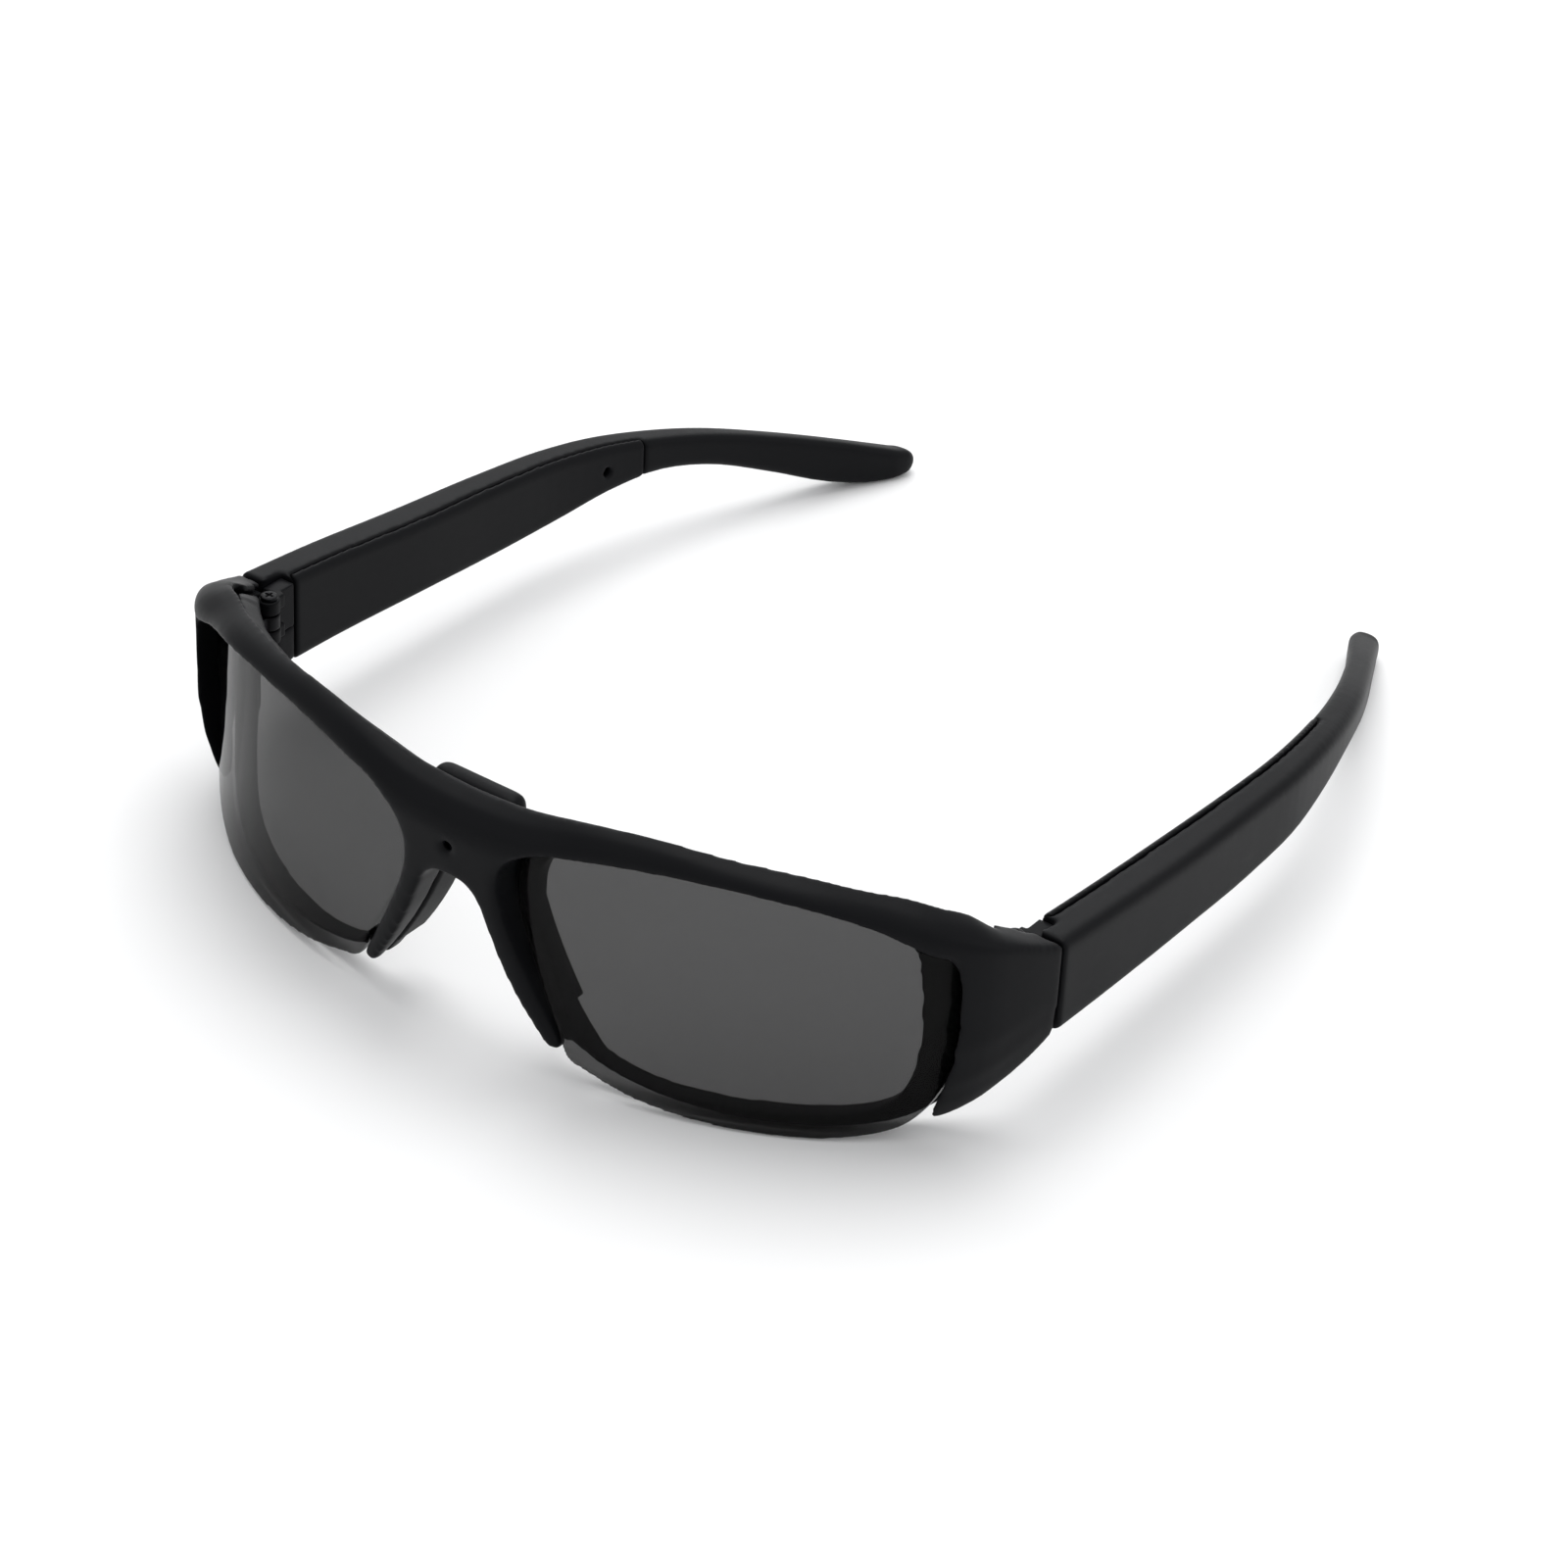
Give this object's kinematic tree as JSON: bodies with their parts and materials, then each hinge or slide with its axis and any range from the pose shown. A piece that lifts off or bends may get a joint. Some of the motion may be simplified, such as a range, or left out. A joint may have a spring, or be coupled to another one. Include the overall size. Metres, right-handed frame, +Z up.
{
  "type": "smart glasses",
  "caption": "Wrap-around dark glasses with a small camera in the bridge, folding temples that hold the electronics, and a sprung button.",
  "frame": {"origin": "on the resting plane, under the middle of the bounding box", "axes": "+X to the wearer's left, +Y back along the temples, +Z up"},
  "size_m": [0.1458, 0.1724, 0.0422],
  "materials": {
    "matte_black": "fine-grained soft matt moulded plastic",
    "lens_tint": "polished dark grey tinted lens",
    "soft_pad": "smooth soft-touch",
    "dark_steel": "blackened steel",
    "circuit_board": "solder-masked board",
    "cell_foil": "foil pouch",
    "chip_black": "moulded black plastic",
    "flex_ribbon": "flexible circuit film",
    "camera_glass": "polished",
    "light_pipe": "frosted clear plastic"
  },
  "bodies": {
    "frame": {"front_shell": "matte_black", "rear_frame": "matte_black", "camera_housing": "matte_black", "camera_ribbon": "flex_ribbon", "camera_window": "camera_glass", "camera_barrel": "chip_black", "camera_board": "circuit_board", "lens_left": "lens_tint", "lens_right": "lens_tint", "nose_pad_left": "soft_pad", "nose_pad_right": "soft_pad", "frame_screw_left": "dark_steel", "frame_screw_right": "dark_steel", "hinge_leaf_front_left": "dark_steel", "hinge_leaf_front_right": "dark_steel", "hinge_screw_left": "dark_steel", "hinge_screw_right": "dark_steel"},
    "temple_left": {"temple_shell_left": "matte_black", "temple_cover_left": "matte_black", "hinge_leaf_temple_left": "matte_black", "battery": "cell_foil", "charge_board": "circuit_board", "port_shell": "dark_steel", "port_tongue": "chip_black"},
    "temple_right": {"temple_shell_right": "matte_black", "temple_cover_right": "matte_black", "hinge_leaf_temple_right": "matte_black", "main_board": "circuit_board", "processor": "chip_black", "memory_chip": "chip_black", "button_switch": "dark_steel", "status_light": "light_pipe", "microphone": "dark_steel"},
    "record_button": {"record_button": "chip_black"}
  },
  "joints": [
    {"name": "temple_left_fold", "type": "hinge", "parent": "frame", "child": "temple_left", "pos_m": [0.0658, -0.04725, 0.0235], "axis": [0, 0, 1], "range_deg": [0, 81]},
    {"name": "temple_right_fold", "type": "hinge", "parent": "frame", "child": "temple_right", "pos_m": [-0.0658, -0.04725, 0.0235], "axis": [0, 0, 1], "range_deg": [-64, 0]},
    {"name": "record_button_press", "type": "slide", "parent": "temple_right", "child": "record_button", "axis": [0, 0, 1], "range_m": [0, 0.0004], "stiffness_N_per_m": 1000}
  ]
}
